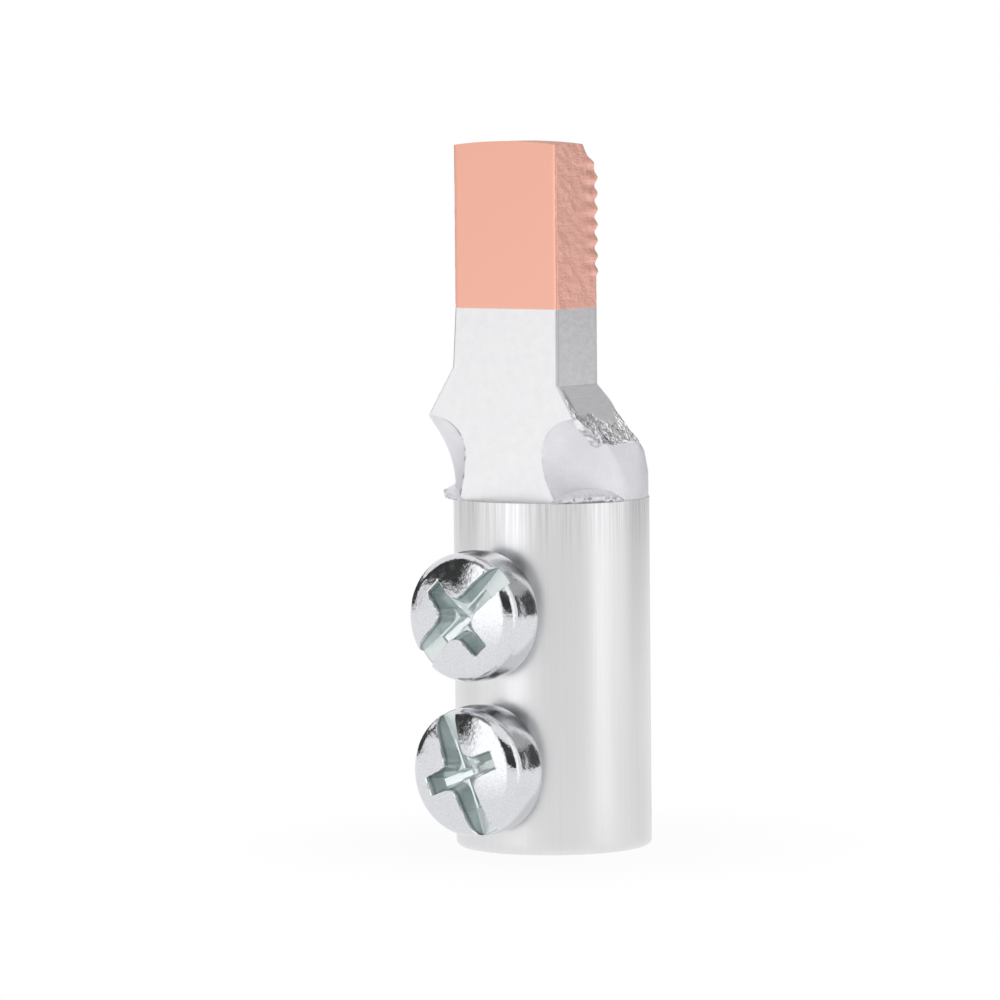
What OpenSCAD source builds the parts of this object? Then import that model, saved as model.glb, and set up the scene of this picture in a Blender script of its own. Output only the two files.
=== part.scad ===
// Bimetallic pin lug: an aluminium barrel with two clamp screws takes the conductor,
// and a flat pin with a friction-welded copper tip goes into the terminal.
// The origin is the centre of the barrel's mouth, +Z runs up to the pin's tip
// and -Y is the side that the screws and the pin's flat face look to.

/* [Barrel] */
// Outer diameter of the barrel
barrel_d = 16; // [15:0.5:20]
// Height of the barrel from its mouth to the ledge under the shoulder
barrel_h = 28.5; // [27:0.5:34]
// Diameter of the blind cable bore
bore_d = 8; // [6:0.25:9]
// Depth of the bore's straight wall
bore_depth = 23; // [22:0.5:24]
// Point angle of the drill that leaves the bore's closed end
drill_angle = 118; // [110:1:140]
// Diameter of the flat that the drill's chisel edge leaves
drill_flat_d = 0.6; // [0.3:0.1:1]
// Chamfer round the outside of the mouth
mouth_chamfer = 0.4; // [0.2:0.1:0.8]

/* [Shoulder] */
// Distance of the flat front face from the barrel's axis
face_offset = 6.3; // [5.8:0.1:6.8]
// Width of the front face at its narrow waist
waist_w = 7.5; // [6.5:0.1:9]
// Height of the waist above the ledge
waist_up = 3.9; // [3.3:0.1:4.2]
// Width over the two shoulder corners
shoulder_w = 13.2; // [12.4:0.2:14]
// Height of the shoulder corners above the ledge
shoulder_up = 6.8; // [6:0.1:7]
// Height above the ledge at which the right sheared slope meets the pin
crease_up = 9.4; // [9:0.1:10.4]
// How much higher the left slope meets the pin, as the shears stand a little off centre
left_rise = 1.4; // [0:0.1:1.6]
// How much wider the left half of the pin is where its slope begins than at the weld
left_flare = 0.3; // [0:0.05:0.4]
// How far the two scooped corners stand off centre to the left
scoop_drift = 0.35; // [0:0.05:0.5]
// Height above the ledge at which the round back starts to close in
dome_up = 2; // [1.6:0.1:2.6]
// How far behind the axis the sheared slopes end at their foot
slope_back = 0.8; // [0.4:0.1:1.4]
// Height over which the round back gives way to the flat ramp, above and below a slope's foot
bow_blend = 1; // [0.5:0.1:1.4]
// Size of the broken corners along the shoulder and the pin
edge_break = 0.12; // [0.08:0.02:0.3]
// Width of the ledge left all round where the neck leaves the barrel
ledge_w = 0.1; // [0.08:0.02:0.3]

/* [Flash lip] */
// How far the forging flash stands out of the barrel
lip_reach = 0.8; // [0.3:0.1:1.2]
// Height of the flash lip above the ledge
lip_h = 1.1; // [0.6:0.1:1.6]
// Direction of the lip's middle, counted from the front face's normal
lip_angle = 59; // [54:1:66]
// Half of the angle that the lip takes up on the barrel
lip_half_angle = 22; // [14:1:26]

/* [Pin] */
// Width of the pin
pin_w = 10; // [8:0.2:11.6]
// Thickness of the pin
pin_t = 5.8; // [5:0.1:6.4]
// Height of the weld between aluminium and copper above the ledge
weld_up = 15.6; // [14:0.2:20]
// Length of the copper tip
copper_l = 13.5; // [12:0.1:18]
// Rise of the tip's crowned end at its middle
crown = 0.3; // [0.1:0.05:0.6]
// How far forwards the bevel on the tip's top back edge reaches
tip_bevel_in = 2.3; // [1:0.1:2.6]
// How far down the bevel on the tip's top back edge reaches
tip_bevel_down = 2.6; // [1:0.1:3]
// Pitch of the cross grooves on the copper's back
groove_pitch = 1.26; // [1:0.02:1.4]
// Depth of the cross grooves
groove_depth = 0.33; // [0.2:0.01:0.5]
// Number of cross grooves
groove_count = 8; // [4:1:8]
// Distance from the end of the tip to the first crest
groove_start = 1.8; // [1.6:0.1:2.2]

/* [Clamp screws] */
// Height of the lower screw's axis above the mouth
lower_screw_up = 7.1; // [6.4:0.1:7.2]
// Distance between the two screws
screw_spacing = 12.5; // [11.8:0.1:12.9]
// Outer diameter of the metric thread
thread_d = 5; // [4:0.5:5]
// Gap left round the thread in its hole
thread_gap = 0.05; // [0.02:0.01:0.08]
// Length of the shank under the head
shank_l = 5; // [4.4:0.1:5.1]
// Chamfer on the shank's tip
tip_chamfer = 0.5; // [0.3:0.1:0.8]
// How far the upper screw's head stands off the barrel as delivered, the bore clear
upper_out = 1.6; // [1.15:0.05:2.2]
// How far the lower screw's head stands off the barrel as delivered, the bore clear
lower_out = 1.2; // [1.15:0.05:2.2]
// Diameter of the pan head
head_d = 10.4; // [8.6:0.2:11]
// Height of the head's straight rim
head_rim_h = 2.7; // [2.3:0.1:3]
// Radius of the round shoulder between the rim and the cap
head_round = 1.2; // [0.8:0.1:1.6]
// Radius of the head's shallow cap
head_cap_r = 16; // [12:0.5:24]
// Width of the slot at the top of the head
slot_w = 1.9; // [1.4:0.05:2.2]
// Width of the slot's floor, which its drafted walls close in to
slot_floor_w = 1.1; // [0.8:0.05:1.3]
// Depth of the slot at the head's middle
slot_depth = 1.9; // [1.4:0.1:2.2]
// Distance over the arms of the cross recess
cross_span = 6.6; // [5:0.1:7]
// Width of the cross recess's arms at the top
cross_w = 1.65; // [1.2:0.05:2]
// Depth of the cross recess
cross_depth = 2.7; // [2:0.1:3.2]
// Distance over the arms at the bottom of the cross recess
cross_foot_span = 3.4; // [2.4:0.1:4]
// How far round the upper screw stands
upper_turn = 43; // [0:1:90]
// How far round the lower screw stands
lower_turn = 112; // [90:1:180]

/* [Hidden] */

round_fn = 96;
shoulder_fn = 12;
cap_fn = 8;
wave_steps = 6;

barrel_r = barrel_d / 2;
bore_r = bore_d / 2;
hole_r = thread_d / 2 + thread_gap;
head_r = head_d / 2;
cap_reach = head_r - head_round;
cap_turn = asin(cap_reach / (head_cap_r - head_round));
cap_centre_h = head_rim_h - cap_reach / tan(cap_turn);
head_h = cap_centre_h + head_cap_r;

face_y = -face_offset;
back_y = face_y + pin_t;
waist_z = barrel_h + waist_up;
shoulder_z = barrel_h + shoulder_up;
crease_z = barrel_h + crease_up;
dome_z = barrel_h + dome_up;
weld_z = barrel_h + weld_up;
tip_z = weld_z + copper_l;

// The neck stands in the barrel, so its foot reaches below the ledge
neck_r = barrel_r - ledge_w;
neck_root = 0.6;
foot_half_w = sqrt(neck_r * neck_r - face_offset * face_offset);
scoop_power = 1.3;
scoop_steps = 6;
back_steps = 8;
level_steps = 22;
left_steps = 3;
slope = (shoulder_w - pin_w) / 2 / (crease_up - shoulder_up);

upper_screw_up = lower_screw_up + screw_spacing;
cross_foot_share = 0.35;

overshoot = 1;

function blend(from, to, share) = from + (to - from) * share;
function clamped(value) = min(1, max(0, value));
function eased(value) = let (s = clamped(value)) s * s * (3 - 2 * s);
function share_of(z, low, high) = clamped((z - low) / (high - low));

// Side is 1 on the right and -1 on the left, where the shears cut higher
function crease_at(side) = crease_z + (side < 0 ? left_rise : 0);
function crease_half_w(side) = pin_w / 2 + (side < 0 ? left_flare : 0);
function slope_foot_at(side) = crease_at(side) - (neck_r - crease_half_w(side)) / slope;
function waist_half_w(side) = waist_w / 2 - side * scoop_drift;

// Half-width of the whole section: the barrel, then the sheared slope, then the pin
function body_half_w(z, side) =
    z > crease_at(side)
        ? blend(pin_w / 2, crease_half_w(side), share_of(weld_z - z, 0, weld_z - crease_at(side)))
    : min(neck_r, crease_half_w(side) + slope * (crease_at(side) - z));

// Half-width of the flat front face: a foot on the barrel, a waist, the shoulder, then the pin
function face_half_w(z, side) =
    z < waist_z
        ? blend(waist_half_w(side), foot_half_w, pow(share_of(waist_z - z, 0, waist_up), 2))
    : z < shoulder_z
        ? blend(waist_half_w(side), body_half_w(shoulder_z, side) - edge_break,
                1 - sqrt(1 - pow(share_of(z, waist_z, shoulder_z), 2)))
    : body_half_w(z, side) - edge_break;

// How far back the scooped corner reaches before the side runs straight
function scoop_end_y(z) =
    blend(-edge_break, face_y + edge_break,
          pow(share_of(z, barrel_h + dome_up / 2, shoulder_z), scoop_power));

// How far the section reaches backwards on the middle plane, a ramp with eased ends
function back_reach_y(z) =
    let (up = share_of(z, dome_z, crease_z - edge_break))
    blend(neck_r, back_y, (up + eased(up)) / 2);

// Where the sheared side ends at the back: it leans back down the slope and dies out on the barrel
function side_end_y(z, side) =
    z < slope_foot_at(side)
        ? blend(edge_break, slope_back, eased(share_of(z, dome_z, slope_foot_at(side))))
        : min(back_reach_y(z) - edge_break,
              blend(slope_back, back_y - edge_break,
                    share_of(z, slope_foot_at(side), crease_at(side))));

// Unit form of the scooped corner, an arc of the barrel stretched to one by one
foot_angle = asin(face_offset / neck_r);
function scoop_x(step) =
    let (turn = foot_angle * (1 - step / scoop_steps))
    (neck_r * cos(turn) - foot_half_w) / (neck_r - foot_half_w);
function scoop_y(step) =
    let (turn = foot_angle * (1 - step / scoop_steps))
    1 - neck_r * sin(turn) / face_offset;

function scoop_point(z, side, step) =
    [blend(face_half_w(z, side), body_half_w(z, side), scoop_x(step)),
     blend(face_y, scoop_end_y(z), scoop_y(step))];

// The back is an ellipse on the barrel, a flatter bow on the ramp and a flat on the pin
function back_point(z, side, step) =
    let (half_w = body_half_w(z, side),
         side_y = side_end_y(z, side),
         foot = slope_foot_at(side),
         bow = eased(share_of(z, foot - bow_blend, foot + bow_blend)),
         flat = eased(share_of(z, shoulder_z, crease_z)),
         turn = 90 * step / back_steps,
         rise = blend(sin(turn), pow(sin(turn), 2), bow),
         round_y = blend(side_y, back_reach_y(z), rise),
         flat_x = step == 0 ? half_w : (half_w - edge_break) * (back_steps - step) / (back_steps - 1),
         flat_y = step == 0 ? side_y : back_reach_y(z))
    [blend(half_w * cos(turn), flat_x, flat), blend(round_y, flat_y, flat)];

// One half of a section, from the front face's edge round to the middle of the back
function half_section(z, side) = [
    for (step = [0 : scoop_steps]) scoop_point(z, side, step),
    for (step = [0 : back_steps - 1]) back_point(z, side, step)
];

function neck_section(z) =
    let (right = half_section(z, 1), left = half_section(z, -1), last = len(left) - 1)
    [
        for (point = right) [point[0], point[1], z],
        [0, back_reach_y(z), z],
        for (i = [last : -1 : 0]) [-left[i][0], left[i][1], z]
    ];

neck_levels = [
    barrel_h - neck_root,
    for (i = [0 : level_steps]) blend(barrel_h, crease_z, i / level_steps),
    for (i = [1 : left_steps]) blend(crease_z, crease_at(-1), i / left_steps),
    weld_z
];

// Skin over a stack of sections that all have the same number of points
module loft(sections) {
    count = len(sections[0]);
    top = len(sections) - 1;
    points = [for (section = sections) for (point = section) point];
    bottom_cap = [[for (i = [0 : count - 1]) i]];
    top_cap = [[for (i = [count - 1 : -1 : 0]) top * count + i]];
    sides = [
        for (level = [0 : top - 1], i = [0 : count - 1])
        let (next = (i + 1) % count, low = level * count, high = low + count)
        each [
            [low + i, high + next, low + next],
            [low + i, high + i, high + next]
        ]
    ];
    polyhedron(points = points, faces = concat(bottom_cap, top_cap, sides));
}

module neck() {
    loft([for (z = neck_levels) neck_section(z)]);
}

// Turned barrel with a chamfered mouth
module barrel() {
    rotate_extrude($fn = round_fn)
        polygon([
            [0, 0],
            [barrel_r - mouth_chamfer, 0],
            [barrel_r, mouth_chamfer],
            [barrel_r, barrel_h],
            [0, barrel_h]
        ]);
}

// Lens of flash squeezed out on the ledge beside the foot of the front face
module flash_lip() {
    edge_x = barrel_r * cos(lip_half_angle);
    edge_y = barrel_r * sin(lip_half_angle);
    outer = barrel_r + lip_reach;
    centre = (outer * outer - edge_x * edge_x - edge_y * edge_y) / (2 * (outer - edge_x));
    lip_r = outer - centre;
    translate([centre, 0, barrel_h - ledge_w])
        cylinder(h = lip_h, r1 = lip_r, r2 = lip_r - lip_reach, $fn = round_fn);
}

module cable_bore() {
    flat_r = drill_flat_d / 2;
    point_h = (bore_r - flat_r) / tan(drill_angle / 2);
    translate([0, 0, -overshoot])
        cylinder(h = bore_depth + overshoot, r = bore_r, $fn = round_fn);
    translate([0, 0, bore_depth])
        cylinder(h = point_h, r1 = bore_r, r2 = flat_r, $fn = round_fn);
}

module tapped_hole(up) {
    translate([0, 0, up])
        rotate([90, 0, 0])
            cylinder(h = barrel_r + overshoot, r = hole_r, $fn = round_fn);
}

module lug_body() {
    color("gainsboro")
        difference() {
            union() {
                barrel();
                neck();
                for (side = [-1, 1])
                    rotate([0, 0, -90 + side * lip_angle]) flash_lip();
            }
            cable_bore();
            tapped_hole(lower_screw_up);
            tapped_hole(upper_screw_up);
        }
}

// Side outline of the copper tip: the grooves are rounded waves cut into its back
groove_top_z = tip_z - groove_start + groove_pitch / 2;
function groove_point(i) =
    let (turn = 360 * i / wave_steps)
    [back_y - groove_depth * (1 + cos(turn)) / 2, groove_top_z - groove_pitch * i / wave_steps];

module tip_outline() {
    difference() {
        polygon([
            [back_y, weld_z],
            [face_y, weld_z],
            [face_y, tip_z],
            [back_y - groove_depth, tip_z],
            for (i = [0 : wave_steps * groove_count]) groove_point(i),
            [back_y, groove_top_z - groove_pitch * (groove_count + 1 / 2)]
        ]);
        polygon([
            [back_y - 2 * tip_bevel_in, tip_z + tip_bevel_down],
            [back_y + tip_bevel_in, tip_z + tip_bevel_down],
            [back_y + tip_bevel_in, tip_z - 2 * tip_bevel_down]
        ]);
    }
}

module copper_pin() {
    half_w = pin_w / 2;
    crown_r = (half_w * half_w + crown * crown) / (2 * crown);
    color("darksalmon")
        intersection() {
            rotate([90, 0, 90])
                translate([0, 0, -half_w])
                    linear_extrude(height = pin_w) tip_outline();
            translate([0, overshoot, tip_z - crown_r])
                rotate([90, 0, 0])
                    cylinder(h = face_offset + 2 * overshoot, r = crown_r, $fn = round_fn);
        }
}

// Pan head with its underside at z = 0: a straight rim, a round shoulder and a shallow cap
module head_blank() {
    rotate_extrude($fn = round_fn)
        polygon([
            [0, 0],
            [head_r - edge_break, 0],
            [head_r, edge_break],
            for (i = [0 : shoulder_fn])
                let (turn = (90 - cap_turn) * i / shoulder_fn)
                [cap_reach + head_round * cos(turn), head_rim_h + head_round * sin(turn)],
            for (i = [1 : cap_fn])
                let (turn = cap_turn * (1 - i / cap_fn))
                [head_cap_r * sin(turn), cap_centre_h + head_cap_r * cos(turn)]
        ]);
}

// One pair of arms of the cross recess, which narrows as it goes down
module cross_arms() {
    foot_w = cross_w * cross_foot_share;
    hull() {
        translate([-cross_span / 2, -cross_w / 2, 0])
            cube([cross_span, cross_w, overshoot]);
        translate([-cross_foot_span / 2, -foot_w / 2, -cross_depth])
            cube([cross_foot_span, foot_w, overshoot]);
    }
}

// Slot right across the head, with drafted walls that run on above the cap
module slot_cut() {
    draft = (slot_w - slot_floor_w) / 2 / slot_depth;
    top_half_w = slot_w / 2 + draft * overshoot;
    translate([-head_r - overshoot, 0, head_h])
        rotate([90, 0, 90])
            linear_extrude(height = head_d + 2 * overshoot)
                polygon([
                    [-slot_floor_w / 2, -slot_depth],
                    [slot_floor_w / 2, -slot_depth],
                    [top_half_w, overshoot],
                    [-top_half_w, overshoot]
                ]);
}

// Combination recess: the slot and a cross recess that shares its line
module recess() {
    slot_cut();
    translate([0, 0, head_h])
        for (turn = [0, 90]) rotate([0, 0, turn]) cross_arms();
}

// Screw along +Z: shank below z = 0 and head above
module screw_blank() {
    shank_r = thread_d / 2;
    rotate_extrude($fn = round_fn)
        polygon([
            [0, -shank_l],
            [shank_r - tip_chamfer, -shank_l],
            [shank_r, -shank_l + tip_chamfer],
            [shank_r, edge_break],
            [0, edge_break]
        ]);
    difference() {
        head_blank();
        recess();
    }
}

module clamp_screw(up, out, turn) {
    color("lightsteelblue")
        translate([0, -barrel_r - out, up])
            rotate([90, 0, 0])
                rotate([0, 0, turn]) screw_blank();
}

module upper_clamp_screw() {
    clamp_screw(upper_screw_up, upper_out, upper_turn);
}

module lower_clamp_screw() {
    clamp_screw(lower_screw_up, lower_out, lower_turn);
}

lug_body();
copper_pin();
upper_clamp_screw();
lower_clamp_screw();
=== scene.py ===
"""Bimetallic pin lug: the finish of the forged lug, its copper tip and its two clamp screws."""

import bmesh
import bpy
import numpy as np
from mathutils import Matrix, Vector


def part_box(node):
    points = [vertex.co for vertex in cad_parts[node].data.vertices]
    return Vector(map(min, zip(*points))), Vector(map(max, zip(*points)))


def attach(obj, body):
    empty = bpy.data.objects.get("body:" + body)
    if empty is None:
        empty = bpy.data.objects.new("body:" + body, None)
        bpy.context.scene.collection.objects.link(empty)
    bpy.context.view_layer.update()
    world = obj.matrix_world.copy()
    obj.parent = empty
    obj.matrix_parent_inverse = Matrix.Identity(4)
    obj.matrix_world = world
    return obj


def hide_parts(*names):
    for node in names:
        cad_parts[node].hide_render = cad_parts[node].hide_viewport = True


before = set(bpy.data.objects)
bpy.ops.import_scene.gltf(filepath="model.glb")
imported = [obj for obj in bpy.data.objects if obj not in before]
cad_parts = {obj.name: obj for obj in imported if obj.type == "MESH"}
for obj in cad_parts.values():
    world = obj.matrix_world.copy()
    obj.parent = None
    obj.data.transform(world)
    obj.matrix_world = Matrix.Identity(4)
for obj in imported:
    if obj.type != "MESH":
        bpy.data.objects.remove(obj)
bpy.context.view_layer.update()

MM = 0.001

# The barrel: a length of drawn aluminium bar, closed at the top, with a drilled blind bore for the
# conductor and two tapped holes in its front. Fine lines from the drawing run up its wall, and
# its mouth has a rounded edge.
barrel_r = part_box("lug_body")[1].y
barrel_h = 28.5 * MM
mouth_round = 0.4 * MM
bore_r = 4.0 * MM
bore_depth = 23.0 * MM
bore_edge = 0.15 * MM
drill_flat_r = 0.3 * MM
drill_half_angle = np.radians(59.0)
screw_nodes = ("upper_clamp_screw", "lower_clamp_screw")
screw_boxes = {node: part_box(node) for node in screw_nodes}
screw_heights = {node: (low.z + high.z) / 2 for node, (low, high) in screw_boxes.items()}
hole_r = 2.55 * MM
hole_sink = 0.25 * MM
outer_block = 3.6 * MM
inner_block = 3.1 * MM
block_lines = 16
around_lines = 100
wall_step = 0.5 * MM
merge_reach = 0.001 * MM
sliver_size = 0.0001 * MM
streaks_start = 4.5 * MM
streaks_full = 0.5 * MM
streak_depth = 0.004 * MM


def grid(points, closed=False):
    """A grid of points, rows by columns by three, with the quads between neighbouring points; a
    closed grid joins its last column to its first."""
    rows, columns = points.shape[:2]
    i, j = np.meshgrid(np.arange(rows - 1), np.arange(columns - (not closed)), indexing="ij")
    beside = (j + 1) % columns
    corners = [i * columns + j, i * columns + beside,
               (i + 1) * columns + beside, (i + 1) * columns + j]
    return points.reshape(-1, 3), np.stack(corners, -1).reshape(-1, 4)


def raw_mesh(name, points, quads):
    """A mesh straight from its points and quads."""
    mesh = bpy.data.meshes.new(name)
    mesh.from_pydata(points.tolist(), [], quads.tolist())
    return mesh


def in_scene(name, mesh):
    """An object that shows a mesh, with its own place at the origin."""
    made = bpy.data.objects.new(name, mesh)
    bpy.context.scene.collection.objects.link(made)
    return made


def piece(name, patches, body, slot, nodes, sharp_angle=32.0, **attributes):
    """One closed mesh from patches of points and quads. Points that patches share are merged, the
    faces are turned outwards, and edges that fold more than sharp_angle stay crisp. Attributes are
    values for the first patch's points and 0 on the rest."""
    starts = np.cumsum([0] + [len(points) for points, quads in patches])
    points = np.concatenate([points for points, quads in patches])
    quads = np.concatenate([quads + start for (_, quads), start in zip(patches, starts)])
    mesh = raw_mesh(name, points, quads)
    for label, values in attributes.items():
        spread = np.pad(values, (0, len(points) - len(values)))
        mesh.attributes.new(label, "FLOAT", "POINT").data.foreach_set("value", spread)
    shell = bmesh.new()
    shell.from_mesh(mesh)
    bmesh.ops.remove_doubles(shell, verts=shell.verts, dist=merge_reach)
    bmesh.ops.dissolve_degenerate(shell, dist=sliver_size, edges=shell.edges)
    bmesh.ops.recalc_face_normals(shell, faces=shell.faces)
    shell.to_mesh(mesh)
    shell.free()
    mesh.shade_smooth()
    mesh.set_sharp_from_angle(angle=np.radians(sharp_angle))
    made = in_scene(name, mesh)
    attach(made, body)
    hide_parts(*nodes)
    return made


def block_marks(half_size):
    """Places across a block at which rays at equal angles from its middle meet its edge."""
    return half_size * np.tan(np.linspace(-np.pi / 4, np.pi / 4, block_lines + 1))


def wall_angles(radius, half_size):
    """Angles of a wall's upright lines: the block's own marks at the front, then even steps."""
    front = np.arcsin(block_marks(half_size) / radius)
    return np.append(front, np.linspace(front[-1], 2 * np.pi + front[0], around_lines)[1:-1])


def round_points(radius, turn, height):
    """Points at a radius, an angle counted from the front, and a height."""
    radius, turn, height = np.broadcast_arrays(radius, turn, height)
    return np.stack([radius * np.sin(turn), -radius * np.cos(turn), height], -1)


def drilled_wall(radius, low, high, half_size):
    """An upright cylinder as a grid of angle and height, with a square block left out of it
    round each hole."""
    even = np.linspace(low, high, int((high - low) / wall_step))
    near = [np.abs(even - z) < half_size + wall_step / 2 for z in screw_heights.values()]
    marks = [block_marks(half_size) + z for z in screw_heights.values()]
    height = np.sort(np.concatenate([even[~np.any(near, 0)], *marks]))
    turn = wall_angles(radius, half_size)
    points, quads = grid(round_points(radius, turn, height[:, None]), closed=True)
    middle = points[quads].mean(1)
    facing = (np.abs(middle[:, 0]) < half_size) & (middle[:, 1] < 0)
    beside = [np.abs(middle[:, 2] - z) < half_size for z in screw_heights.values()]
    return points, quads[~(facing & np.any(beside, 0))]


hole_turn = np.linspace(0, 2 * np.pi, 4 * block_lines, endpoint=False)
hole_rays = np.stack([np.cos(hole_turn), np.sin(hole_turn)])


def on_wall(radius, across, height):
    """Points on the front half of an upright cylinder, given across and up."""
    return np.stack([across, -np.sqrt(radius ** 2 - across ** 2), height], -1)


def hole_rings(radius, half_size, hole, height, rings=6):
    """The wall between a round hole and the square block round it: each ray from the hole's
    middle is shared out between the circle and the square."""
    square = half_size * hole_rays / np.abs(hole_rays).max(0)
    share = np.linspace(0, 1, rings)[:, None]
    across, up = [hole * ray * (1 - share) + edge * share for ray, edge in zip(hole_rays, square)]
    return grid(on_wall(radius, across, up + height), closed=True)


def tunnel(height, rows=8):
    """A tapped hole's own wall, from its countersunk mouth in to the bore."""
    mouth, neck = (hole_r + hole_sink) * hole_rays, hole_r * hole_rays
    outer = on_wall(barrel_r, mouth[0], mouth[1] + height)
    sunk = on_wall(barrel_r, neck[0], neck[1] + height) + np.array([0, hole_sink, 0])
    inner = on_wall(bore_r, neck[0], neck[1] + height)
    share = np.linspace(0, 1, rows)[:, None, None]
    return grid(np.concatenate([outer[None], sunk * (1 - share) + inner * share]), closed=True)


def turned(turn, profile):
    """A profile of radius and height carried once round the axis through the given angles."""
    radius, height = np.array(profile).T[:, :, None]
    return grid(round_points(radius, turn, height), closed=True)


outer_turn = wall_angles(barrel_r, outer_block)
inner_turn = wall_angles(bore_r, inner_block)
rounding = np.linspace(0, np.pi / 2, 7)
mouth_profile = np.stack([barrel_r - mouth_round * (1 - np.cos(rounding)),
                          mouth_round * (1 - np.sin(rounding))], -1)
share = np.linspace(0, 1, 6)[:, None]
mouth_face = round_points((barrel_r - mouth_round) * (1 - share) + (bore_r + bore_edge) * share,
                          outer_turn * (1 - share) + inner_turn * share, 0)
point_h = (bore_r - drill_flat_r) / np.tan(drill_half_angle)
drill_end = [(bore_r, bore_depth),
             (bore_r / 2, bore_depth + point_h * (bore_r / 2) / (bore_r - drill_flat_r)),
             (drill_flat_r, bore_depth + point_h), (0, bore_depth + point_h)]


def metal(name, color, roughness):
    """A bare metal: its material, and its shader with the plain values set."""
    made = bpy.data.materials.new(name)
    made.use_nodes = True
    finish = made.node_tree.nodes["Principled BSDF"]
    finish.inputs["Metallic"].default_value = 1.0
    finish.inputs["Base Color"].default_value = (*color, 1)
    finish.inputs["Roughness"].default_value = roughness
    return made, finish


def feed(made, socket, value):
    """Fills a socket: a number or a colour is set on it, another node's output is joined to it."""
    if isinstance(value, bpy.types.NodeSocket):
        made.node_tree.links.new(value, socket)
    elif isinstance(value, tuple):
        socket.default_value = (*value, 1)
    else:
        socket.default_value = value


def position(made):
    """Where a point lies in the piece's own coordinates."""
    return made.node_tree.nodes.new("ShaderNodeTexCoord").outputs["Object"]


def height_of(made):
    """How high a point lies in the piece's own coordinates."""
    split = made.node_tree.nodes.new("ShaderNodeSeparateXYZ")
    feed(made, split.inputs[0], position(made))
    return split.outputs["Z"]


def grain(made, size, stretch=(1, 1, 1), detail=3.0):
    """A noise pattern on the piece's own coordinates, with grains of about the given size."""
    turn = made.node_tree.nodes.new("ShaderNodeMapping")
    turn.inputs["Scale"].default_value = stretch
    feed(made, turn.inputs["Vector"], position(made))
    noise = made.node_tree.nodes.new("ShaderNodeTexNoise")
    noise.inputs["Scale"].default_value = 1 / size
    noise.inputs["Detail"].default_value = detail
    feed(made, noise.inputs["Vector"], turn.outputs["Vector"])
    return noise.outputs["Fac"]


def between(made, share, low, high, start=0.0, end=1.0):
    """Spreads a value out: start at low, end at high, and held beyond them."""
    spread = made.node_tree.nodes.new("ShaderNodeMapRange")
    feed(made, spread.inputs["Value"], share)
    for socket, value in zip(("From Min", "From Max", "To Min", "To Max"), (low, high, start, end)):
        feed(made, spread.inputs[socket], value)
    return spread.outputs["Result"]


def mixed_color(made, share, first, second):
    """A colour part of the way from first to second; each is a colour or another node's output."""
    mix = made.node_tree.nodes.new("ShaderNodeMix")
    mix.data_type = "RGBA"
    feed(made, mix.inputs["Factor"], share)
    feed(made, mix.inputs[6], first)
    feed(made, mix.inputs[7], second)
    return mix.outputs[2]


def attribute(made, name):
    """A value that the mesh carries at its points."""
    read = made.node_tree.nodes.new("ShaderNodeAttribute")
    read.attribute_name = name
    return read.outputs["Fac"]


def uneven(made, finish, height, depth):
    """Raises the surface by a pattern, as deep as depth."""
    bump = made.node_tree.nodes.new("ShaderNodeBump")
    bump.inputs["Distance"].default_value = depth
    bump.inputs["Strength"].default_value = 1.0
    feed(made, bump.inputs["Height"], height)
    feed(made, finish.inputs["Normal"], bump.outputs["Normal"])


drawn, finish = metal("drawn_aluminium", (0.78, 0.78, 0.79), 0.3)
lines = grain(drawn, 0.22 * MM, stretch=(1, 1, 0.02))
near_top = between(drawn, height_of(drawn), barrel_h - streaks_start, barrel_h - streaks_full)
faint = mixed_color(drawn, between(drawn, lines, 0.35, 0.65), (0.77, 0.77, 0.78), (0.79, 0.79, 0.80))
strong = mixed_color(drawn, between(drawn, lines, 0.4, 0.6), (0.70, 0.70, 0.715), (0.84, 0.84, 0.845))
feed(drawn, finish.inputs["Base Color"], mixed_color(drawn, near_top, faint, strong))
uneven(drawn, finish, lines, streak_depth)

barrel = piece(
    "barrel",
    [drilled_wall(barrel_r, mouth_round, barrel_h, outer_block),
     drilled_wall(bore_r, bore_edge, bore_depth, inner_block),
     turned(outer_turn, mouth_profile),
     turned(outer_turn, [(barrel_r, barrel_h), (barrel_r / 2, barrel_h), (0, barrel_h)]),
     grid(mouth_face, closed=True),
     turned(inner_turn, [(bore_r + bore_edge, 0), (bore_r, bore_edge)]),
     turned(inner_turn, drill_end),
     *[hole_rings(barrel_r, outer_block, hole_r + hole_sink, z) for z in screw_heights.values()],
     *[hole_rings(bore_r, inner_block, hole_r, z) for z in screw_heights.values()],
     *[tunnel(z) for z in screw_heights.values()]],
    "lug", "aluminium", ["lug_body"])
barrel.data.materials.append(drawn)


# The forged neck and pin: above the barrel the same bar is pressed flat at the front, scooped in
# at both corners, sheared to a slope at each side and drawn out to a flat pin. The press leaves
# the faces smooth, and the shears leave lines and a torn edge.
pin_low, pin_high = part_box("copper_pin")
face_y, back_y = pin_low.y, pin_high.y
pin_half_w = pin_high.x
weld_z = pin_low.z
waist_w = 7.5 * MM
shoulder_w = 13.2 * MM
waist_z = barrel_h + 3.9 * MM
shoulder_z = barrel_h + 6.8 * MM
crease_z = barrel_h + 9.4 * MM
left_rise = 1.4 * MM
left_flare = 0.3 * MM
bow_blend = 1 * MM
scoop_drift = 0.35 * MM
dome_z = barrel_h + 2 * MM
scoop_top_z = barrel_h + 1 * MM
scoop_power = 1.3
slope_back = 0.8 * MM
edge_break = 0.12 * MM
neck_r = barrel_r - 0.1 * MM
neck_root = 0.3 * MM
face_even_share = 0.95
face_last_share = 0.985
back_crowding = 1.3
corner_steps = 3
shoulder_band = 0.2 * MM
dull_fade = 0.4 * MM
# How dark the marks up the face's edge are on each side and on the pin's corners, and the size and fade
# of their noise.
left_dark_marks = 0.9
right_dark_marks = 0.15
corner_darkening = 0.4
dark_mark_cell = 0.22 * MM
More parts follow.
